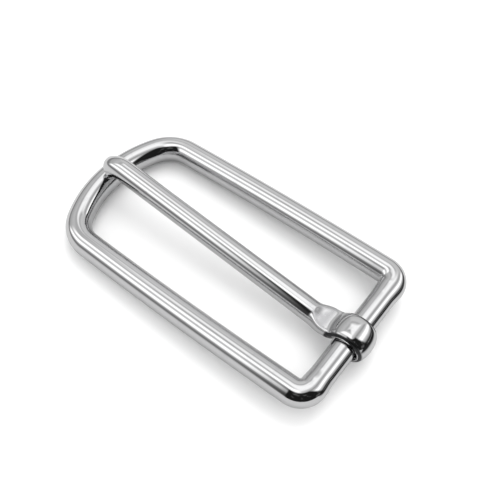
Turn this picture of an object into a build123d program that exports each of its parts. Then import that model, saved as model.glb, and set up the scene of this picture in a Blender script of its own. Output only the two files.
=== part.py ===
from build123d import *
import math
import os

# Metal strapping buckle for 25 mm strap: a closed rod frame and a hinged tongue.
# Millimetres. X runs along the bar, Y from the bar to the bowed end, Z is up.
# The origin is the middle of the bar's axis.

# Frame
strap_width = 25.0        # clear width between the rails at the bar
rail_dia = 5.0            # rails, near corners and bowed end
bar_dia = 4.6             # the bar is a little slimmer, so that the eye turns freely
bar_taper = 3.0           # length over which the rail's section narrows to the bar's
frame_reach = 58.9        # from the bar's axis to the rod's centre at the crown of the bow
near_bend = 2.7           # centreline radius of the two tight corners beside the bar
far_bend = 6.9            # centreline radius of the two easy corners beside the bow
bow_bend = 23.7           # centreline radius of the bowed end
rail_bend = 1050.0        # the rails bulge outward along this long radius
rail_lean = 0.9           # degrees that a rail leans outward where it leaves the bar

# Tongue
tongue_side = -0.5        # the loose tongue sits this far off the middle of the bar
tongue_dia = 4.4
tongue_lean = 1.2         # degrees that the shank leans sideways in its loose eye
tip_short = 0.8           # the middle of the tip's end stops this far short of the crown
tip_gap = 0.1             # space between the resting tip and the bow
tip_drop = 40.0           # degrees that the end of the tip points down
tip_bend = 4.6            # centreline radius of the bend just before the end
nose_round = 0.6          # rounding of the tip's end
shank_low = -0.2          # height of the shank's axis where it meets the flattened part

# Eye of the tongue
eye_clearance = 0.1       # radial running gap round the bar
eye_wall = 1.65
eye_width = 5.6
eye_crown = 0.5           # the eye's outside is lower by this much at its two edges
eye_round = 0.6           # rounding of the eye's outer edges
lead_in = 0.2             # bevel of the bore's edges
flat_thick = 2.4          # thickness of the flattened part between shank and eye
flat_lift = 0.3           # height of its middle above the bar's axis
flat_round = 1.05         # rounding of its long edges
flat_past_eye = 1.45      # from the eye's outside to where the flat faces end
wide_past_eye = 1.2       # from the eye's outside to where its full width ends
flare_past_eye = 3.9      # from the eye's outside to where the flared sides meet the shank
flare_waist = 0.93        # half width at the end of the flare, as a share of the shank's radius
crease_bend = 0.8         # radius of the hollow bend where the flat turns up into the eye
scoop_bend = 14.0         # radius of the hollows where the round shank is flattened
seam_gap = 0.4            # open seam where the rolled end stops below the flattened part
seam_angle = 38.0         # degrees below the horizontal at which the seam lies

# Derived sizes
rail_r = rail_dia / 2
bar_r = bar_dia / 2
tongue_r = tongue_dia / 2
bore_r = bar_r + eye_clearance
eye_r = bore_r + eye_wall
rail_x = strap_width / 2 + rail_r
flat_top = flat_lift + flat_thick / 2
flat_bottom = flat_lift - flat_thick / 2
flat_end = eye_r + flat_past_eye
wide_end = eye_r + wide_past_eye
flare_end = eye_r + flare_past_eye
wall_middle = bore_r + eye_wall / 2


def polar(centre, radius, degrees):
    """The point at this angle and distance from the centre."""
    angle = math.radians(degrees)
    return (centre[0] + radius * math.cos(angle), centre[1] + radius * math.sin(angle))


def bearing(start, end):
    """The angle in degrees from one point to another."""
    return math.degrees(math.atan2(end[1] - start[1], end[0] - start[0]))


def far_corner_centre(rail_centre, bow_centre):
    """Centre of the corner that is tangent inside both the rail's and the bow's circles."""
    to_rail = rail_bend - far_bend
    to_bow = bow_bend - far_bend
    apart = math.dist(rail_centre, bow_centre)
    along = (to_rail**2 - to_bow**2 + apart**2) / (2 * apart)
    aside = math.sqrt(to_rail**2 - along**2)
    axis = bearing(rail_centre, bow_centre)
    return polar(polar(rail_centre, along, axis), aside, axis + 90)


def make_frame():
    """One rod bent into a closed loop, with its slimmer bar closing the near end."""
    near_centre = (rail_x - near_bend, near_bend)
    rail_start = polar(near_centre, near_bend, -rail_lean)
    rail_centre = polar(rail_start, -rail_bend, -rail_lean)
    bow_centre = (0, frame_reach - bow_bend)
    far_centre = far_corner_centre(rail_centre, bow_centre)
    rail_stop = bearing(rail_centre, far_centre)
    bow_start = bearing(bow_centre, far_centre)

    with BuildLine() as loop:
        CenterArc(near_centre, near_bend, -90, 90 - rail_lean)
        CenterArc(rail_centre, rail_bend, -rail_lean, rail_stop + rail_lean)
        CenterArc(far_centre, far_bend, rail_stop, bow_start - rail_stop)
        CenterArc(bow_centre, bow_bend, bow_start, 90 - bow_start)
        mirror(about=Plane.YZ)
    bar_end = near_centre[0]
    section = Plane(origin=(bar_end, 0, 0), z_dir=(1, 0, 0)) * Circle(rail_r)
    hoop = sweep(section, path=loop.wire())

    # The bar is turned about X: full rail section at its ends, easing to the slim middle
    slim = bar_end - bar_taper
    with BuildSketch(Plane.XZ) as outline:
        with BuildLine():
            Polyline((slim, bar_r), (-slim, bar_r))
            Spline((-slim, bar_r), (-bar_end, rail_r), tangents=((-1, 0), (-1, 0)))
            Polyline((-bar_end, rail_r), (-bar_end, 0), (bar_end, 0), (bar_end, rail_r))
            Spline((bar_end, rail_r), (slim, bar_r), tangents=((-1, 0), (-1, 0)))
        make_face()
    bar = revolve(outline.sketch, axis=Axis.X)
    return hoop + bar


def shank_plane():
    """Upright plane of the shank: its first axis runs along the shank, its second up."""
    lean = math.radians(tongue_lean)
    foot = tongue_side - flare_end * math.tan(lean)
    along = (math.sin(lean), math.cos(lean), 0)
    return Plane(origin=(foot, 0, 0), x_dir=along, z_dir=(math.cos(lean), -math.sin(lean), 0))


def shank_path():
    """Centreline: straight up to the bend, then down onto the inner shoulder of the bow."""
    drop = math.radians(tip_drop)
    tip_height = (rail_r + tip_gap - tip_short * math.cos(drop)) / math.sin(drop)
    tip = (frame_reach - tip_short, tip_height)
    end = polar(tip, nose_round, 180 - tip_drop)
    bend_centre = polar(end, tip_bend, -90 - tip_drop)
    foot = (flare_end, shank_low)
    half_angle = math.degrees(math.asin(tip_bend / math.dist(foot, bend_centre)))
    rise = bearing(foot, bend_centre) + half_angle
    bend_start = polar(bend_centre, tip_bend, 90 + rise)
    start = (0, shank_low - flare_end * math.tan(math.radians(rise)))
    with BuildLine(shank_plane()) as path:
        Line(start, bend_start)
        CenterArc(bend_centre, tip_bend, 90 + rise, -rise - tip_drop)
    return path.wire()


def make_shank():
    """The round shank with its bent tip and rounded nose, from the middle of the eye's wall on."""
    path = shank_path()
    section = Plane(origin=path @ 0, z_dir=path % 0) * Circle(tongue_r)
    shank = sweep(section, path=path)
    length = frame_reach + tongue_dia
    keep = Pos(0, wall_middle + length / 2, 0) * Box(length, length, length)
    return (shank & keep) + make_nose(path)


def make_nose(path):
    """The rounded end of the tip, turned about the end of the centreline."""
    face_r = tongue_r - nose_round
    with BuildSketch(Plane.XZ) as outline:
        with BuildLine():
            Line((0, 0), (tongue_r, 0))
            CenterArc((face_r, 0), nose_round, 0, 90)
            Polyline((face_r, nose_round), (0, nose_round), (0, 0))
        make_face()
    return Plane(origin=path @ 1, z_dir=path % 1) * revolve(outline.sketch, axis=Axis.Z)


def make_scoop(face_height, up):
    """Cutter that flattens the shank on one side and runs out of it in a long hollow."""
    hollow_end = flat_end + scoop_bend
    hollow_top = face_height + up * scoop_bend
    with BuildSketch(Plane.YZ) as cut:
        with BuildLine():
            Line((0, face_height), (flat_end, face_height))
            CenterArc((flat_end, hollow_top), scoop_bend, -90 * up, 90 * up)
            Polyline((hollow_end, hollow_top), (0, hollow_top), (0, face_height))
        make_face()
    return Pos(tongue_side, 0, 0) * extrude(cut.sketch, amount=eye_width, both=True)


def make_flat():
    """The flattened part: a plate that flares from the shank to the width of the eye."""
    half = eye_width / 2
    waist = tongue_r * flare_waist
    with BuildSketch(Plane.XY.offset(flat_bottom)) as plan:
        with BuildLine():
            Polyline((-half, wide_end), (-half, wall_middle), (half, wall_middle), (half, wide_end))
            Spline((half, wide_end), (waist, flare_end), tangents=((0, 1), (0, 1)))
            Line((waist, flare_end), (-waist, flare_end))
            Spline((-waist, flare_end), (-half, wide_end), tangents=((0, -1), (0, -1)))
        make_face()
    plate = extrude(plan.sketch, amount=flat_thick)
    rims = plate.edges().filter_by(lambda e: abs(e.tangent_at(0.5).Y) > 0.5)
    plate = fillet(rims, flat_round)
    return Pos(tongue_side, 0, 0) * plate


def make_eye():
    """The rolled eye round the bar, crowned outside and open at a narrow seam."""
    half = eye_width / 2
    edge_r = eye_r - eye_crown
    with BuildSketch(Plane.XY) as outline:
        with BuildLine():
            ThreePointArc((-half, edge_r), (0, eye_r), (half, edge_r))
            Polyline((half, edge_r), (half, bore_r), (-half, bore_r), (-half, edge_r))
        make_face()
        fillet(outline.vertices().sort_by(Axis.Y)[2:], eye_round)
        chamfer(outline.vertices().sort_by(Axis.Y)[:2], lead_in)
    ring = revolve(outline.sketch, axis=Axis.X)
    seam = Pos(0, wall_middle, 0) * Box(eye_width, eye_wall * 2, seam_gap)
    return Pos(tongue_side, 0, 0) * (ring - Rot(-seam_angle, 0, 0) * seam)


def make_tongue():
    """Shank, flattened part and eye as one piece."""
    shank = make_shank() - make_scoop(flat_top, 1) - make_scoop(flat_bottom, -1)
    bore = Pos(tongue_side, 0, 0) * Cylinder(bore_r, eye_width, rotation=(0, 90, 0))
    rolled = make_flat() + make_eye()
    crease = rolled.edges().sort_by_distance((tongue_side, eye_r, flat_top))[0]
    return fillet(crease, crease_bend) + shank - bore


frame = make_frame()
tongue = make_tongue()

os.makedirs("parts", exist_ok=True)
export_step(frame, "parts/frame.step")
export_step(tongue, "parts/tongue.step")
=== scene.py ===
import math

import bpy
import numpy as np
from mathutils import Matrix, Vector


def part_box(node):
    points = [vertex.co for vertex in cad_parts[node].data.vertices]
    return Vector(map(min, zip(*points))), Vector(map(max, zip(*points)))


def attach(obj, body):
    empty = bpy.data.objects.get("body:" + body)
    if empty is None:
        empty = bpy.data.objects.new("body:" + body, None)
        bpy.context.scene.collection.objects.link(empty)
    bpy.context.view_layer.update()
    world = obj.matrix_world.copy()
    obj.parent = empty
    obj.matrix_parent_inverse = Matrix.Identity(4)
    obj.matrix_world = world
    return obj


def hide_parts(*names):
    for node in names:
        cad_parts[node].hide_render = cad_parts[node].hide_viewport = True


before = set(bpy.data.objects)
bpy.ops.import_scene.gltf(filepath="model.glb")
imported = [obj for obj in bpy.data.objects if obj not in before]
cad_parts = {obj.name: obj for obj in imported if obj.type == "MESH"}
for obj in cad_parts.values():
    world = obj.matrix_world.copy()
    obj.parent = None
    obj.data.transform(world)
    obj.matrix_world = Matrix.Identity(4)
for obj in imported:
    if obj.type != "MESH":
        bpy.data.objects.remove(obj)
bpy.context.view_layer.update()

bl_info = {
    "name": "Strapping buckle",
    "version": (1, 0, 0),
    "blender": (4, 5, 0),
    "location": "3D View > Sidebar > Buckle",
    "description": "Polished rod buckle: a closed loop and a hinged tongue, with its studio",
    "category": "Object",
}

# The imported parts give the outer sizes. Metres throughout, X along the bar, Z up
MM = 0.001
LOOP_LOW, LOOP_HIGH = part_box("frame")
TONGUE_LOW, TONGUE_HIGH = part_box("tongue")
LOOP_ROD_R = LOOP_HIGH.z
LOOP_REACH = LOOP_HIGH.y - LOOP_ROD_R
EYE_R = -TONGUE_LOW.z

# How finely the rods are divided, round them and along each stretch
LOOP_AROUND = 96
TONGUE_AROUND = 128
BAR_STEPS = 50
NEAR_CORNER_STEPS = 36
RAIL_STEPS = 40
FAR_CORNER_STEPS = 36
BOW_STEPS = 40
EYE_STEPS = 190
CREASE_STEPS = 30
FLARE_STEPS = 60
SHANK_STEPS = 60
TIP_STEPS = 30
ROUNDING_STEPS = 8
CAP_RINGS = (0.66, 0.33)

# Shape of the tongue's sections: higher is squarer
EYE_SQUARENESS = 4.4
PRESSED_SQUARENESS = 7.0


def length_size(name, description, default):
    return bpy.props.FloatProperty(
        name=name, description=description, default=default, unit="LENGTH", precision=5)


def angle_size(name, description, degrees):
    return bpy.props.FloatProperty(
        name=name, description=description, default=math.radians(degrees), unit="ROTATION")


def share(name, description, default):
    return bpy.props.FloatProperty(
        name=name, description=description, default=default, min=0.0, max=1.0, subtype="FACTOR")


def steel_tone(name, description, default):
    return bpy.props.FloatVectorProperty(
        name=name, description=description, default=default, size=3, min=0.0, max=1.0,
        subtype="COLOR")


class LoopSizes(bpy.types.PropertyGroup):
    rod_radius: length_size("Rod radius", "Half the loop's rod", LOOP_ROD_R)
    reach: length_size("Reach", "From the bar's axis to the rod's centre at the bow", LOOP_REACH)
    strap_width: length_size("Strap width", "Clear width between the rails", 25.0 * MM)
    bar_radius: length_size("Bar radius", "Half the slimmer bar", 2.3 * MM)
    bar_taper: length_size("Bar taper", "Length over which rod eases to bar", 3.0 * MM)
    near_bend: length_size("Near bend", "Centreline radius of the tight corners", 2.7 * MM)
    far_bend: length_size("Far bend", "Centreline radius of the easy corners", 6.9 * MM)
    bow_bend: length_size("Bow bend", "Centreline radius of the bowed end", 23.7 * MM)
    rail_bend: length_size("Rail bend", "Long radius along which a rail bulges", 1050.0 * MM)
    rail_lean: angle_size("Rail lean", "How far a rail leans outward at the bar", 0.9)


class TongueSizes(bpy.types.PropertyGroup):
    side: length_size("Side", "Offset of the loose tongue from the bar's middle", -0.5 * MM)
    lean: angle_size("Lean", "How far the shank leans sideways", 1.2)
    shank_radius: length_size("Shank radius", "Half the round shank", 2.2 * MM)
    shank_low: length_size("Shank low", "Height of the shank's axis at the flare's end", -0.2 * MM)
    tip_short: length_size("Tip short", "The tip's end stops this far short of the bow", 0.8 * MM)
    tip_gap: length_size("Tip gap", "Space between the resting tip and the bow", 0.1 * MM)
    tip_drop: angle_size("Tip drop", "How steeply the tip's end points down", 40.0)
    tip_bend: length_size("Tip bend", "Centreline radius of the bend before the end", 4.6 * MM)
    nose_round: length_size("Nose round", "Rounding of the tip's end", 0.6 * MM)
    bore_radius: length_size("Bore radius", "Inside of the rolled eye", 2.4 * MM)
    eye_radius: length_size("Eye radius", "Outside of the rolled eye", EYE_R)
    eye_half: length_size("Eye half width", "Half the eye's width along the bar", 2.8 * MM)
    eye_crown: length_size("Eye crown", "How much lower the eye is at its edges", 0.5 * MM)
    flat_half: length_size("Flat half thickness", "Half the flattened part", 1.2 * MM)
    flat_lift: length_size("Flat lift", "Height of the flattened part's middle", 0.3 * MM)
    crease_bend: length_size("Crease bend", "Mid-line radius where flat turns up into eye", 2.2 * MM)
    scoop_start: length_size("Scoop start", "Where the flat faces end", 4.6 * MM)
    scoop_end: length_size("Scoop end", "Where the hollows run out into the round shank", 8.2 * MM)
    flare_ease: length_size("Flare ease", "How far the flare eases past its end", 0.6 * MM)
    wide_end: length_size("Wide end", "Where the eye's full width ends", 5.25 * MM)
    flare_end: length_size("Flare end", "Where the flared sides meet the shank", 7.95 * MM)
    eye_run_out: length_size("Eye run-out", "How far the eye's section eases into the flat", 2.2 * MM)
    seam_round: length_size("Seam round", "Rounding of the rolled end at the seam", 0.3 * MM)
    seam_angle: angle_size("Seam angle", "How far below the flat the rolled end stops", 41.0)


class SteelFinish(bpy.types.PropertyGroup):
    tone: steel_tone("Tone", "Colour of the polished steel", (0.63, 0.63, 0.635))
    haze_tone: steel_tone("Haze tone", "Colour where the polish is hazy", (0.58, 0.58, 0.59))
    polish: share("Polish roughness", "Roughness of the bright polish", 0.045)
    haze: share("Haze roughness", "Roughness where the polish is hazy", 0.11)
    # Painted dark reflection: this near-black tone on the eye's side faces stands in for the black they
    # mirror
    cut_face_painted_dark: steel_tone("Cut tone", "Colour of the unpolished cut faces", (0.05, 0.05, 0.052))
    cut_roughness: share("Cut roughness", "Roughness of the unpolished cut faces", 0.38)
    press_tone: steel_tone("Press tone", "Colour of the pressed faces", (0.48, 0.48, 0.49))
    press_roughness: share("Press roughness", "Roughness of the pressed faces", 0.30)
    draw_depth: length_size("Draw depth", "Height of the fine lines along the rod", 0.0006 * MM)


class Studio(bpy.types.PropertyGroup):
    azimuth: angle_size("Azimuth", "Camera's bearing round the buckle", -52.212)
    elevation: angle_size("Elevation", "Camera's height above the horizon", 55.731)
    distance: length_size("Distance", "From the camera to the point it looks at", 135.3 * MM)
    aim_x: length_size("Aim across", "Point looked at, along the bar", 3.21 * MM)
    aim_y: length_size("Aim along", "Point looked at, from the bar", 25.39 * MM)
    lens: bpy.props.FloatProperty(name="Lens", description="Focal length", default=51.55, unit="CAMERA")
    floor_tone: steel_tone("Floor tone", "Colour of the pale floor", (0.88, 0.88, 0.88))
    # Painted shade: the floor's tone as the steel mirrors it, darker than the floor the camera sees
    mirrored_floor_shade: share("Mirrored floor", "How bright the steel mirrors the floor", 0.56)
    soft_light: bpy.props.FloatProperty(
        name="Soft light", description="Even light of the tent on the floor", default=1.3)
    backdrop: bpy.props.FloatProperty(
        name="Backdrop", description="Brightness of the wall beyond the floor", default=0.93)
    key_power: bpy.props.FloatProperty(
        name="Key power", description="Power of the soft lamp beside the buckle", default=1.0,
        unit="POWER")


def polar(centre, radius, angle):
    return (centre[0] + radius * math.cos(angle), centre[1] + radius * math.sin(angle))


def bearing(start, end):
    return math.atan2(end[1] - start[1], end[0] - start[0])


def arc_points(centre, radius, start, stop, count):
    """Points on an arc, without its last one."""
    return [polar(centre, radius, start + (stop - start) * i / count) for i in range(count)]


def line_points(start, end, count):
    """Points on a straight run, without its last one."""
    return [tuple(np.array(start) + (np.array(end) - start) * i / count) for i in range(count)]


def ease(x, low, high):
    """Goes smoothly from 0 at low to 1 at high."""
    t = np.clip((x - low) / (high - low), 0.0, 1.0)
    return t * t * (3.0 - 2.0 * t)


def skin(name, rings, closed):
    """A mesh piece from rings of points; its ends are capped unless the rings close on themselves."""
    count, around = rings.shape[:2]
    points = rings.reshape(-1, 3)
    spans = count if closed else count - 1
    faces = []
    for i in range(spans):
        here = i * around
        there = (i + 1) % count * around
        for j in range(around):
            k = (j + 1) % around
            faces.append((here + j, there + j, there + k, here + k))
    if not closed:
        points = np.vstack([points, rings[0].mean(axis=0), rings[-1].mean(axis=0)])
        start, end = len(points) - 2, len(points) - 1
        last = (count - 1) * around
        for j in range(around):
            k = (j + 1) % around
            faces.append((start, j, k))
            faces.append((end, last + k, last + j))
    mesh = bpy.data.meshes.new(name)
    mesh.from_pydata(points.tolist(), [], faces)
    mesh.validate()
    mesh.shade_smooth()
    piece = bpy.data.objects.new(name, mesh)
    bpy.context.scene.collection.objects.link(piece)
    return piece


def far_corner_centre(size, rail_centre, bow_centre):
    """Centre of the corner that is tangent inside both the rail's and the bow's circles."""
    to_rail = size.rail_bend - size.far_bend
    to_bow = size.bow_bend - size.far_bend
    apart = math.dist(rail_centre, bow_centre)
    along = (to_rail**2 - to_bow**2 + apart**2) / (2 * apart)
    aside = math.sqrt(to_rail**2 - along**2)
    axis = bearing(rail_centre, bow_centre)
    return polar(polar(rail_centre, along, axis), aside, axis + math.pi / 2)


def loop_centreline(size):
    """Half of the loop, from the middle of the bar to the crown of the bow."""
    quarter = math.pi / 2
    rail_x = size.strap_width / 2 + size.rod_radius
    near_centre = (rail_x - size.near_bend, size.near_bend)
    rail_start = polar(near_centre, size.near_bend, -size.rail_lean)
    rail_centre = polar(rail_start, -size.rail_bend, -size.rail_lean)
    bow_centre = (0.0, size.reach - size.bow_bend)
    far_centre = far_corner_centre(size, rail_centre, bow_centre)
    rail_stop = bearing(rail_centre, far_centre)
    bow_start = bearing(bow_centre, far_centre)
    half = line_points((0.0, 0.0), (near_centre[0], 0.0), BAR_STEPS)
    half += arc_points(near_centre, size.near_bend, -quarter, -size.rail_lean, NEAR_CORNER_STEPS)
    half += arc_points(rail_centre, size.rail_bend, -size.rail_lean, rail_stop, RAIL_STEPS)
    half += arc_points(far_centre, size.far_bend, rail_stop, bow_start, FAR_CORNER_STEPS)
    half += arc_points(bow_centre, size.bow_bend, bow_start, quarter, BOW_STEPS)
    half.append((0.0, size.reach))
    return half


def directions(line, closed):
    """Unit direction of travel at each point of a plane line."""
    if closed:
        ahead = np.roll(line, -1, axis=0) - line
        behind = line - np.roll(line, 1, axis=0)
    else:
        step = np.diff(line, axis=0)
        ahead = np.vstack([step, step[-1:]])
        behind = np.vstack([step[:1], step])
    way = (ahead / np.linalg.norm(ahead, axis=1)[:, None]
           + behind / np.linalg.norm(behind, axis=1)[:, None])
    return way / np.linalg.norm(way, axis=1)[:, None]


def seat_in(rings, low, high):
    """Evens out the hair by which a smooth surface differs from its faceted part's box."""
    rings = np.array(rings)
    for axis in range(3):
        side = rings[..., axis]
        least, most = side.min(), side.max()
        share_of_way = (side - least) / (most - least)
        rings[..., axis] = low[axis] + share_of_way * (high[axis] - low[axis])
    return rings


def make_loop(size):
    """The closed loop: rails, corners and bow of full rod, easing to the slimmer bar."""
    half = loop_centreline(size)
    mirrored = [(-x, y) for x, y in reversed(half[1:-1])]
    line = np.array(half + mirrored)
    way = directions(line, True)
    bar_end = size.strap_width / 2 + size.rod_radius - size.near_bend
    on_bar = line[:, 1] < size.near_bend / 2
    easing = ease(np.abs(line[:, 0]), bar_end - size.bar_taper, bar_end)
    slim = size.bar_radius + (size.rod_radius - size.bar_radius) * easing
    radius = np.where(on_bar, slim, size.rod_radius)
    turn = np.linspace(0.0, 2 * math.pi, LOOP_AROUND, endpoint=False)
    rings = []
    for (x, y), (dx, dy), r in zip(line, way, radius):
        side = np.array((dy, -dx, 0.0))
        up = np.array((0.0, 0.0, 1.0))
        ring = np.outer(np.cos(turn), side) + np.outer(np.sin(turn), up)
        rings.append(np.array((x, y, 0.0)) + r * ring)
    return skin("steel_loop", seat_in(rings, LOOP_LOW, LOOP_HIGH), True)


def tongue_centreline(size):
    """Side view (along, up) of the tongue's middle line from the seam to the tip, and its ring's end."""
    wall = (size.bore_radius + size.eye_radius) / 2
    hollow = (0.0, size.flat_lift + size.crease_bend)
    hollow = (math.sqrt((wall + size.crease_bend)**2 - hollow[1]**2), hollow[1])
    leave = bearing((0.0, 0.0), hollow)
    quarter = math.pi / 2
    line = arc_points((0.0, 0.0), wall, -size.seam_angle, leave - 4 * quarter, EYE_STEPS)
    ring_end = len(line)
    line += arc_points(hollow, size.crease_bend, leave + 2 * quarter, 3 * quarter, CREASE_STEPS)

    drop = size.tip_drop
    height = (LOOP_ROD_R + size.tip_gap - size.tip_short * math.cos(drop)) / math.sin(drop)
    tip = (LOOP_REACH - size.tip_short, height)
    end = polar(tip, size.nose_round, math.pi - drop)
    bend_centre = polar(end, size.tip_bend, -quarter - drop)
    foot = (size.flare_end, size.shank_low)
    half_angle = math.asin(size.tip_bend / math.dist(foot, bend_centre))
    rise = bearing(foot, bend_centre) + half_angle
    bend_start = polar(bend_centre, size.tip_bend, quarter + rise)
    straight_start = polar(foot, size.flare_ease, rise)
    for y in np.linspace(hollow[0], straight_start[0], FLARE_STEPS, endpoint=False):
        straight = foot[1] + math.tan(rise) * (y - foot[0])
        rounding = ease(y, size.scoop_start, size.scoop_end)
        line.append((y, size.flat_lift + (straight - size.flat_lift) * rounding))
    line += line_points(straight_start, bend_start, SHANK_STEPS)
    line += arc_points(bend_centre, size.tip_bend, quarter + rise, quarter - drop, TIP_STEPS)
    line.append(end)
    return np.array(line), ring_end


def rolled_section(size, turn):
    """The eye's section, all alike: across and up, with squarish corners."""
    across, up = np.cos(turn), np.sin(turn)
    wall_half = (size.eye_radius - size.bore_radius) / 2
    x = size.eye_half * np.sign(across) * np.abs(across) ** (2 / EYE_SQUARENESS)
    return x, wall_half * np.sign(up) * np.abs(up) ** (2 / EYE_SQUARENESS)


def rod_section(size, turn, half_width, half_height):
    """The rod's section: round, but pressed to this half height with softened edges."""
    x = half_width * np.cos(turn)
    z = size.shank_radius * np.sin(turn)
    power = PRESSED_SQUARENESS
    excess = (size.shank_radius / half_height) ** power - 1.0
    pressed = (1.0 + excess * np.abs(np.sin(turn)) ** power) ** (1.0 / power)
    return x, z / pressed


def make_tongue(size):
    """Round shank with a bent tip, flattened and flared towards the bar and rolled into an eye."""
    line, ring_end = tongue_centreline(size)
    way = directions(line, False)
    turn = np.linspace(0.0, 2 * math.pi, TONGUE_AROUND, endpoint=False)
    run = np.concatenate([[0.0], np.cumsum(np.linalg.norm(np.diff(line, axis=0), axis=1))])
    past_ring = run - run[ring_end]
    along = np.where(past_ring > 0, line[:, 0], 0.0)

    eye_share = 1.0 - ease(past_ring, -size.eye_run_out / 2, size.eye_run_out)
    half_width = size.eye_half + (size.shank_radius - size.eye_half) * ease(
        along, size.wide_end, size.flare_end + size.flare_ease)
    half_height = size.flat_half + (size.shank_radius - size.flat_half) * ease(
        along, size.scoop_start, size.scoop_end)
    beside = size.side + math.tan(size.lean) * np.clip(along - size.flare_end, 0.0, None)

    rings = []
    rolled_x, rolled_z = rolled_section(size, turn)
    for i, ((y, z), (dy, dz)) in enumerate(zip(line, way)):
        rod_x, rod_z = rod_section(size, turn, half_width[i], half_height[i])
        x = rod_x + (rolled_x - rod_x) * eye_share[i]
        h = rod_z + (rolled_z - rod_z) * eye_share[i]
        h = h - size.eye_crown * eye_share[i] * (x / size.eye_half) ** 2 * (h > 0)
        rings.append(np.stack([beside[i] + x, y - dz * h, z + dy * h], axis=1))
    rings = round_end(rings, line, way, -1, size.nose_round, size.lean)
    rings = round_end(rings, line, way, 0, size.seam_round, 0.0)
    return skin("steel_tongue", seat_in(rings, TONGUE_LOW, TONGUE_HIGH), False)


def round_end(rings, line, way, end, radius, lean):
    """Adds rings that round the rod's end over and shrink towards its middle."""
    ring = rings[end]
    outward = way[end] if end else -way[end]
    outward = np.array((math.sin(lean) * outward[0], math.cos(lean) * outward[0], outward[1]))
    middle = ring.mean(axis=0)
    reach = np.linalg.norm(ring - middle, axis=1)[:, None]
    arm = (ring - middle) / reach
    extra = []
    for i in range(1, ROUNDING_STEPS + 1):
        angle = math.pi / 2 * i / ROUNDING_STEPS
        inset = radius * (1 - math.cos(angle))
        extra.append(middle + arm * (reach - inset) + outward * radius * math.sin(angle))
    for part in CAP_RINGS:
        extra.append(middle + arm * (reach - radius) * part + outward * radius)
    if end:
        return list(rings) + extra
    return extra[::-1] + list(rings)


# Scales of the steel's marks, per metre, and how far the drawn lines are stretched
LOOP_PATCHES = 420.0
TONGUE_PATCHES = 520.0
CLOUD_SCALE = 330.0
DRAWN_LINES = 5200.0
DRAWN_STRETCH = (1.0, 0.06, 1.0)
LINE_STRENGTH = 0.25

# Where each mark begins and where it is full: in the noise, or in how far a face turns
HAZE_EDGES = (0.52, 0.78)
CLOUD_EDGES = (0.15, 0.60)
SIDEWAYS_EDGES = (0.42, 0.62)
LEVEL_EDGES = (0.80, 0.96)

# How far the painted dark reflection on the side faces runs out past the eye, and the press marks past
# the flare's end
CUT_MARGIN = 0.4 * MM
PRESS_MARGIN = 2.5 * MM


def polish_group():
    """Shared finish of drawn and polished rod: hazy patches and fine lines along the rod."""
    group = bpy.data.node_groups.new("polished_rod_finish", "ShaderNodeTree")
    made = group.interface.new_socket
    made("Vector", in_out="INPUT", socket_type="NodeSocketVector")
    for name in ("Bright tone", "Haze tone"):
        made(name, in_out="INPUT", socket_type="NodeSocketColor")
    for name in ("Polish", "Haze", "Patch scale", "Line scale"):
        made(name, in_out="INPUT", socket_type="NodeSocketFloat")
    made("Color", in_out="OUTPUT", socket_type="NodeSocketColor")
    made("Roughness", in_out="OUTPUT", socket_type="NodeSocketFloat")
    made("Height", in_out="OUTPUT", socket_type="NodeSocketFloat")
    add, link = group.nodes.new, group.links.new
    given, out = add("NodeGroupInput"), add("NodeGroupOutput")

    patches = add("ShaderNodeTexNoise")
    patches.inputs["Detail"].default_value = 5.0
    patches.inputs["Roughness"].default_value = 0.6
    link(given.outputs["Vector"], patches.inputs["Vector"])
    link(given.outputs["Patch scale"], patches.inputs["Scale"])
    spread = add("ShaderNodeMapRange")
    spread.interpolation_type = "SMOOTHSTEP"
    spread.inputs["From Min"].default_value = HAZE_EDGES[0]
    spread.inputs["From Max"].default_value = HAZE_EDGES[1]
    link(patches.outputs["Fac"], spread.inputs["Value"])

    stretch = add("ShaderNodeVectorMath")
    stretch.operation = "MULTIPLY"
    stretch.inputs[1].default_value = DRAWN_STRETCH
    link(given.outputs["Vector"], stretch.inputs[0])
    lines = add("ShaderNodeTexNoise")
    lines.inputs["Detail"].default_value = 3.0
    link(stretch.outputs[0], lines.inputs["Vector"])
    link(given.outputs["Line scale"], lines.inputs["Scale"])

    tone = add("ShaderNodeMix")
    tone.data_type = "RGBA"
    link(spread.outputs["Result"], tone.inputs["Factor"])
    link(given.outputs["Bright tone"], tone.inputs[6])
    link(given.outputs["Haze tone"], tone.inputs[7])
    link(tone.outputs[2], out.inputs["Color"])
    rough = add("ShaderNodeMix")
    link(spread.outputs["Result"], rough.inputs["Factor"])
    link(given.outputs["Polish"], rough.inputs[2])
    link(given.outputs["Haze"], rough.inputs[3])
    link(rough.outputs[0], out.inputs["Roughness"])
    link(lines.outputs["Fac"], out.inputs["Height"])
    return group


def polished_steel(name, finish, patch_scale):
    """Bright steel whose tone, gloss and fine lines come from the shared finish."""
    material = bpy.data.materials.new(name)
    material.use_nodes = True
    tree = material.node_tree
    add, link = tree.nodes.new, tree.links.new
    shader = tree.nodes["Principled BSDF"]
    shader.inputs["Metallic"].default_value = 1.0
    place = add("ShaderNodeTexCoord")
    group = add("ShaderNodeGroup")
    group.node_tree = bpy.data.node_groups.get("polished_rod_finish") or polish_group()
    group.inputs["Bright tone"].default_value = (*finish.tone, 1.0)
    group.inputs["Haze tone"].default_value = (*finish.haze_tone, 1.0)
    group.inputs["Polish"].default_value = finish.polish
    group.inputs["Haze"].default_value = finish.haze
    group.inputs["Patch scale"].default_value = patch_scale
    group.inputs["Line scale"].default_value = DRAWN_LINES
    bump = add("ShaderNodeBump")
    bump.inputs["Strength"].default_value = LINE_STRENGTH
    bump.inputs["Distance"].default_value = finish.draw_depth
    link(place.outputs["Object"], group.inputs["Vector"])
    link(group.outputs["Color"], shader.inputs["Base Color"])
    link(group.outputs["Roughness"], shader.inputs["Roughness"])
    link(group.outputs["Height"], bump.inputs["Height"])
    link(bump.outputs["Normal"], shader.inputs["Normal"])
    return material


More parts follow.
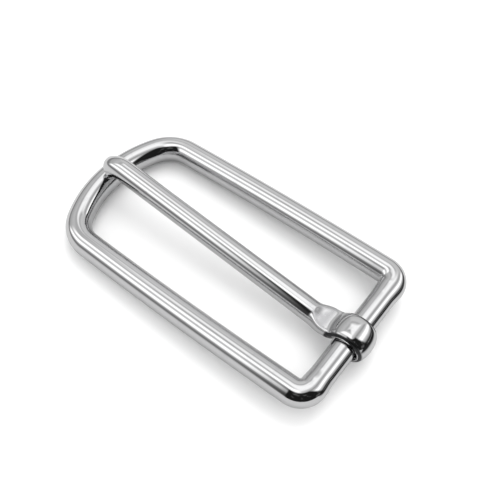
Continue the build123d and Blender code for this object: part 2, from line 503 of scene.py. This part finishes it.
def paint_cut_faces_dark(material, finish, size):
    """Near-black, rougher steel on the eye's two cut side faces. The near-black tone is a painted dark
    reflection: it stands in for the black that these faces mirror.
    """
    tree = material.node_tree
    shader = tree.nodes["Principled BSDF"]
    place = tree.nodes["Texture Coordinate"]
    facing = tree.nodes.new("ShaderNodeSeparateXYZ")
    tree.links.new(place.outputs["Normal"], facing.inputs[0])
    sideways = soft_step(tree, math_node(tree, "ABSOLUTE", facing.outputs["X"]), *SIDEWAYS_EDGES)
    upright = tree.nodes.new("ShaderNodeVectorMath")
    upright.operation = "MULTIPLY"
    upright.inputs[1].default_value = (0.0, 1.0, 1.0)
    tree.links.new(place.outputs["Object"], upright.inputs[0])
    from_axis = tree.nodes.new("ShaderNodeVectorMath")
    from_axis.operation = "LENGTH"
    tree.links.new(upright.outputs["Vector"], from_axis.inputs[0])
    on_eye = soft_step(
        tree, from_axis.outputs["Value"], size.eye_radius + CUT_MARGIN, size.eye_radius)
    cut = all_of(tree, sideways, on_eye)
    # Paints the dark reflection: the eye's side faces get the near-black tone
    change_finish(tree, shader, cut, finish.cut_face_painted_dark, finish.cut_roughness)


def leave_press_marks(material, finish, size):
    """Cloudy steel on the two faces that were pressed flat between the shank and the eye."""
    tree = material.node_tree
    shader = tree.nodes["Principled BSDF"]
    place = tree.nodes["Texture Coordinate"]
    facing = tree.nodes.new("ShaderNodeSeparateXYZ")
    tree.links.new(place.outputs["Normal"], facing.inputs[0])
    level = soft_step(tree, math_node(tree, "ABSOLUTE", facing.outputs["Z"]), *LEVEL_EDGES)
    at = tree.nodes.new("ShaderNodeSeparateXYZ")
    tree.links.new(place.outputs["Object"], at.inputs[0])
    past_eye = soft_step(tree, at.outputs["Y"], size.eye_radius, size.wide_end)
    before_rod = soft_step(tree, at.outputs["Y"], size.flare_end + PRESS_MARGIN, size.flare_end)
    clouds = tree.nodes.new("ShaderNodeTexNoise")
    clouds.inputs["Scale"].default_value = CLOUD_SCALE
    clouds.inputs["Detail"].default_value = 3.0
    tree.links.new(place.outputs["Object"], clouds.inputs["Vector"])
    cloudy = soft_step(tree, clouds.outputs["Fac"], *CLOUD_EDGES)
    pressed = all_of(tree, level, past_eye, before_rod, cloudy)
    change_finish(tree, shader, pressed, finish.press_tone, finish.press_roughness)


def change_finish(tree, shader, mask, tone, roughness):
    """Changes the steel's tone and roughness where the mask is 1."""
    colour = tree.nodes.new("ShaderNodeMix")
    colour.data_type = "RGBA"
    tree.links.new(mask, colour.inputs[0])
    tree.links.new(shader.inputs["Base Color"].links[0].from_socket, colour.inputs[6])
    colour.inputs[7].default_value = (*tone, 1.0)
    tree.links.new(colour.outputs[2], shader.inputs["Base Color"])
    rough = tree.nodes.new("ShaderNodeMix")
    tree.links.new(mask, rough.inputs[0])
    tree.links.new(shader.inputs["Roughness"].links[0].from_socket, rough.inputs[2])
    rough.inputs[3].default_value = roughness
    tree.links.new(rough.outputs[0], shader.inputs["Roughness"])


def dress(piece, material, body, node):
    """Gives the piece its finish and seats it in the frame in place of its plain part."""
    piece.data.materials.append(material)
    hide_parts(node)
    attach(piece, body)


# Brightness of the light tent, seen from the buckle, against degrees above the horizon.
# The first list goes from +X over the top to -X, the second from +Y over the top to -Y.
TENT_ACROSS = (
    (0.0, 0.40), (5.0, 0.20), (14.0, 0.75), (40.0, 0.85), (51.0, 0.65), (61.0, 1.45), (70.0, 1.25),
    (79.0, 0.52), (86.0, 0.75), (96.0, 1.80), (105.0, 1.60), (114.0, 0.72), (121.0, 0.95),
    (130.0, 1.90), (142.0, 1.55), (152.0, 0.50), (166.0, 0.20), (174.0, 0.50), (180.0, 0.72))
TENT_ALONG = (
    (0.0, 0.48), (9.0, 0.30), (20.0, 0.60), (43.0, 0.75), (55.0, 0.62), (66.0, 1.20), (78.0, 1.50),
    (92.0, 1.45), (104.0, 0.78), (113.0, 0.48), (122.0, 0.80), (134.0, 1.75), (144.0, 1.70),
    (155.0, 0.80), (163.0, 0.52), (171.0, 0.08), (180.0, 0.02))
TENT_PEAK = 1.9

# Straight up but for this lean in X and Y, the two lists meet, and they blend over this width
MEETING_LEAN = (0.30, 0.33)
MEETING_BLEND = (-0.12, 0.12)

# The open front, where it begins and where it is full, and the dim room behind it
FRONT_LEAN = 0.38
FRONT_SIDE = (0.44, 0.30)
FRONT_DEPTH = (0.30, 0.10)
FRONT_TOP = (0.95, 0.90)
ROOM_TONE = 0.016
GLINT_TONE = 0.12
GLINT_SCALE = 3.5
GLINT_EDGES = (0.52, 0.72)


def math_node(tree, operation, *values):
    """A math node with its inputs linked or set."""
    node = tree.nodes.new("ShaderNodeMath")
    node.operation = operation
    for socket, value in zip(node.inputs, values):
        if isinstance(value, bpy.types.NodeSocket):
            tree.links.new(value, socket)
        else:
            socket.default_value = value
    return node.outputs[0]


def all_of(tree, *masks):
    """The masks multiplied."""
    product = masks[0]
    for mask in masks[1:]:
        product = math_node(tree, "MULTIPLY", product, mask)
    return product


def tent_profile(tree, angle, stops):
    """Brightness of the tent against an angle given in radians."""
    ramp = tree.nodes.new("ShaderNodeValToRGB")
    tree.links.new(math_node(tree, "DIVIDE", angle, math.pi), ramp.inputs["Fac"])
    elements = ramp.color_ramp.elements
    ramp.color_ramp.interpolation = "EASE"
    for i, (degrees, level) in enumerate(stops):
        element = elements[i] if i < 2 else elements.new(degrees / 180.0)
        element.position = degrees / 180.0
        element.color = (level / TENT_PEAK,) * 3 + (1.0,)
    return ramp.outputs["Color"]


def soft_step(tree, value, low, high):
    """Goes smoothly from 0 at low to 1 at high, or the other way where low is over high."""
    step = tree.nodes.new("ShaderNodeMapRange")
    step.interpolation_type = "SMOOTHSTEP"
    tree.links.new(value, step.inputs["Value"])
    step.inputs["From Min"].default_value = low
    step.inputs["From Max"].default_value = high
    return step.outputs["Result"]


def blend(tree, factor, first, second):
    """A mix of two brightnesses."""
    mix = tree.nodes.new("ShaderNodeMix")
    for socket, value in zip(mix.inputs, (factor, None, first, second)):
        if value:
            tree.links.new(value, socket)
    return mix.outputs[0]


def background(tree, brightness):
    """A plain background of this brightness, or of a brightness that changes over the sky."""
    node = tree.nodes.new("ShaderNodeBackground")
    node.inputs["Color"].default_value = (1.0, 1.0, 1.0, 1.0)
    if isinstance(brightness, bpy.types.NodeSocket):
        tree.links.new(brightness, node.inputs["Strength"])
    else:
        node.inputs["Strength"].default_value = brightness
    return node.outputs["Background"]


def choose(tree, factor, first, second):
    """One of two backgrounds, by the kind of ray."""
    node = tree.nodes.new("ShaderNodeMixShader")
    for socket, value in zip(node.inputs, (factor, first, second)):
        tree.links.new(value, socket)
    return node.outputs["Shader"]


def make_tent(studio):
    """Light tent that the steel mirrors: pale bands, and the dark room beyond its open front."""
    world = bpy.data.worlds.new("light_tent")
    bpy.context.scene.world = world
    world.use_nodes = True
    tree = world.node_tree
    tree.nodes.clear()
    place = tree.nodes.new("ShaderNodeTexCoord")
    split = tree.nodes.new("ShaderNodeSeparateXYZ")
    tree.links.new(place.outputs["Generated"], split.inputs[0])
    x, y, z = split.outputs

    across = tent_profile(tree, math_node(tree, "ARCTAN2", z, x), TENT_ACROSS)
    along = tent_profile(tree, math_node(tree, "ARCTAN2", z, y), TENT_ALONG)
    off_x = math_node(tree, "ABSOLUTE", math_node(tree, "SUBTRACT", x, MEETING_LEAN[0]))
    off_y = math_node(tree, "ABSOLUTE", math_node(tree, "SUBTRACT", y, MEETING_LEAN[1]))
    lead = soft_step(tree, math_node(tree, "SUBTRACT", off_x, off_y), *MEETING_BLEND)
    walls = blend(tree, lead, along, across)

    # The open front: its right edge leans out towards the floor, its top is below the zenith
    edge = math_node(tree, "MULTIPLY_ADD", z, FRONT_LEAN, x)
    beside = soft_step(tree, edge, *FRONT_SIDE)
    before = soft_step(tree, y, *FRONT_DEPTH)
    below = soft_step(tree, z, *FRONT_TOP)
    open_front = all_of(tree, beside, before, below)
    lit = math_node(tree, "MULTIPLY", walls, TENT_PEAK)
    things = tree.nodes.new("ShaderNodeTexNoise")
    things.inputs["Scale"].default_value = GLINT_SCALE
    things.inputs["Detail"].default_value = 2.0
    tree.links.new(place.outputs["Generated"], things.inputs["Vector"])
    glints = soft_step(tree, things.outputs["Fac"], *GLINT_EDGES)
    room = math_node(tree, "MULTIPLY_ADD", glints, GLINT_TONE, ROOM_TONE)
    tent = background(tree, blend(tree, open_front, lit, room))

    path = tree.nodes.new("ShaderNodeLightPath")
    soft = choose(tree, path.outputs["Is Diffuse Ray"], tent, background(tree, studio.soft_light))
    all_rays = choose(tree, path.outputs["Is Camera Ray"], soft, background(tree, studio.backdrop))
    out = tree.nodes.new("ShaderNodeOutputWorld")
    tree.links.new(all_rays, out.inputs["Surface"])


# Floor: half its side, its hair of room below the buckle, and where the painted dark reflection on it
# begins, in front of the bar
FLOOR_HALF = 1.5
FLOOR_SINK = 0.01 * MM
PAINTED_DARK_X = (-14 * MM, -4 * MM)
PAINTED_DARK_Y = (-10 * MM, -24 * MM)

# Lamp, in metres, and camera: sensor in millimetres, clipping in metres
LAMP_PLACE = (0.26, 0.10, 0.36)
LAMP_AIM = (0.0, 0.03, 0.0)
LAMP_ACROSS = 0.40
SENSOR_WIDTH = 36.0
CLIP_START = 0.005
CLIP_END = 20.0


def make_floor(studio):
    """Pale floor on which the buckle rests: on the bottom of its eye and of its bow.

    The camera sees it white all over. Where the steel mirrors it, it is painted darker: painted shade
    all over, and a painted dark reflection in front of the bar, of the dark room beyond the sheet's
    edge.
    """
    tilt = math.asin((EYE_R - LOOP_ROD_R) / LOOP_REACH)
    half = FLOOR_HALF
    corners = []
    for x, y in ((-half, -half), (half, -half), (half, half), (-half, half)):
        corners.append((x, y, y * math.tan(tilt) - EYE_R / math.cos(tilt) - FLOOR_SINK))
    mesh = bpy.data.meshes.new("pale_floor")
    mesh.from_pydata(corners, [], [(0, 1, 2, 3)])
    floor = bpy.data.objects.new("pale_floor", mesh)
    bpy.context.scene.collection.objects.link(floor)
    material = bpy.data.materials.new("pale_floor")
    material.use_nodes = True
    shader = material.node_tree.nodes["Principled BSDF"]
    shader.inputs["Roughness"].default_value = 0.9
    shader.inputs["Specular IOR Level"].default_value = 0.0
    tree = material.node_tree
    place = tree.nodes.new("ShaderNodeTexCoord")
    split = tree.nodes.new("ShaderNodeSeparateXYZ")
    tree.links.new(place.outputs["Object"], split.inputs[0])
    path = tree.nodes.new("ShaderNodeLightPath")
    # Painted reflection: for mirrored rays the floor is painted darker, and nearly black in front of the
    # bar
    beyond = all_of(
        tree, soft_step(tree, split.outputs["X"], *PAINTED_DARK_X),
        soft_step(tree, split.outputs["Y"], *PAINTED_DARK_Y))
    mirrored = math_node(
        tree, "MULTIPLY_ADD", beyond, ROOM_TONE - studio.mirrored_floor_shade, studio.mirrored_floor_shade)
    colour = tree.nodes.new("ShaderNodeMix")
    colour.data_type = "RGBA"
    tree.links.new(path.outputs["Is Glossy Ray"], colour.inputs[0])
    colour.inputs[6].default_value = (*studio.floor_tone, 1.0)
    tree.links.new(mirrored, colour.inputs[7])
    tree.links.new(colour.outputs[2], shader.inputs["Base Color"])
    mesh.materials.append(material)


def make_soft_lamp(studio):
    """A soft lamp that lights the floor but isn't mirrored in the steel."""
    light = bpy.data.lights.new("soft_key", "AREA")
    light.shape = "DISK"
    light.size = LAMP_ACROSS
    light.energy = studio.key_power
    lamp = bpy.data.objects.new("soft_key", light)
    bpy.context.scene.collection.objects.link(lamp)
    lamp.location = LAMP_PLACE
    lamp.rotation_mode = "QUATERNION"
    lamp.rotation_quaternion = (Vector(LAMP_AIM) - Vector(LAMP_PLACE)).to_track_quat("-Z", "Y")
    lamp.visible_glossy = False


def make_camera(studio):
    """The camera, turned about the point it looks at."""
    camera = bpy.data.cameras.new("camera")
    camera.lens = studio.lens
    camera.sensor_width = SENSOR_WIDTH
    camera.clip_start = CLIP_START
    camera.clip_end = CLIP_END
    holder = bpy.data.objects.new("camera", camera)
    bpy.context.scene.collection.objects.link(holder)
    level = math.cos(studio.elevation)
    back = Vector((math.sin(studio.azimuth) * level, -math.cos(studio.azimuth) * level,
                   math.sin(studio.elevation)))
    holder.location = Vector((studio.aim_x, studio.aim_y, 0.0)) + back * studio.distance
    holder.rotation_mode = "QUATERNION"
    holder.rotation_quaternion = (-back).to_track_quat("-Z", "Y")
    bpy.context.scene.camera = holder


class BUCKLE_OT_loop(bpy.types.Operator):
    """Make the polished loop with its bar"""
    bl_idname = "buckle.loop"
    bl_label = "Loop"

    def execute(self, context):
        piece = make_loop(context.scene.buckle_loop)
        steel = polished_steel("loop_steel", context.scene.buckle_steel, LOOP_PATCHES)
        dress(piece, steel, "frame", "frame")
        return {"FINISHED"}


class BUCKLE_OT_tongue(bpy.types.Operator):
    """Make the polished tongue with its rolled eye"""
    bl_idname = "buckle.tongue"
    bl_label = "Tongue"

    def execute(self, context):
        sizes = context.scene.buckle_tongue
        finish = context.scene.buckle_steel
        piece = make_tongue(sizes)
        steel = polished_steel("tongue_steel", finish, TONGUE_PATCHES)
        leave_press_marks(steel, finish, sizes)
        paint_cut_faces_dark(steel, finish, sizes)
        dress(piece, steel, "tongue", "tongue")
        return {"FINISHED"}


class BUCKLE_OT_studio(bpy.types.Operator):
    """Make the pale floor, the light tent and the camera"""
    bl_idname = "buckle.studio"
    bl_label = "Studio"

    def execute(self, context):
        studio = context.scene.buckle_studio
        make_floor(studio)
        make_tent(studio)
        make_soft_lamp(studio)
        make_camera(studio)
        context.scene.view_settings.view_transform = "Standard"
        return {"FINISHED"}


class BUCKLE_PT_panel(bpy.types.Panel):
    bl_idname = "BUCKLE_PT_panel"
    bl_label = "Strapping buckle"
    bl_space_type = "VIEW_3D"
    bl_region_type = "UI"
    bl_category = "Buckle"

    def draw(self, context):
        for group, operator in GROUPS:
            box = self.layout.box()
            if operator:
                box.operator(operator)
            settings = getattr(context.scene, group)
            for name in settings.bl_rna.properties.keys():
                if name not in ("rna_type", "name"):
                    box.prop(settings, name)


GROUPS = (
    ("buckle_loop", "buckle.loop"),
    ("buckle_tongue", "buckle.tongue"),
    ("buckle_steel", None),
    ("buckle_studio", "buckle.studio"),
)
SETTINGS = {
    "buckle_loop": LoopSizes,
    "buckle_tongue": TongueSizes,
    "buckle_steel": SteelFinish,
    "buckle_studio": Studio,
}
OPERATORS = (BUCKLE_OT_loop, BUCKLE_OT_tongue, BUCKLE_OT_studio)


def register():
    for name, settings in SETTINGS.items():
        bpy.utils.register_class(settings)
        setattr(bpy.types.Scene, name, bpy.props.PointerProperty(type=settings))
    for kind in OPERATORS + (BUCKLE_PT_panel,):
        bpy.utils.register_class(kind)


def unregister():
    for kind in (BUCKLE_PT_panel,) + OPERATORS[::-1]:
        bpy.utils.unregister_class(kind)
    for name, settings in SETTINGS.items():
        delattr(bpy.types.Scene, name)
        bpy.utils.unregister_class(settings)


def main():
    register()
    bpy.ops.buckle.loop()
    bpy.ops.buckle.tongue()
    bpy.ops.buckle.studio()


if __name__ == "__main__":
    main()
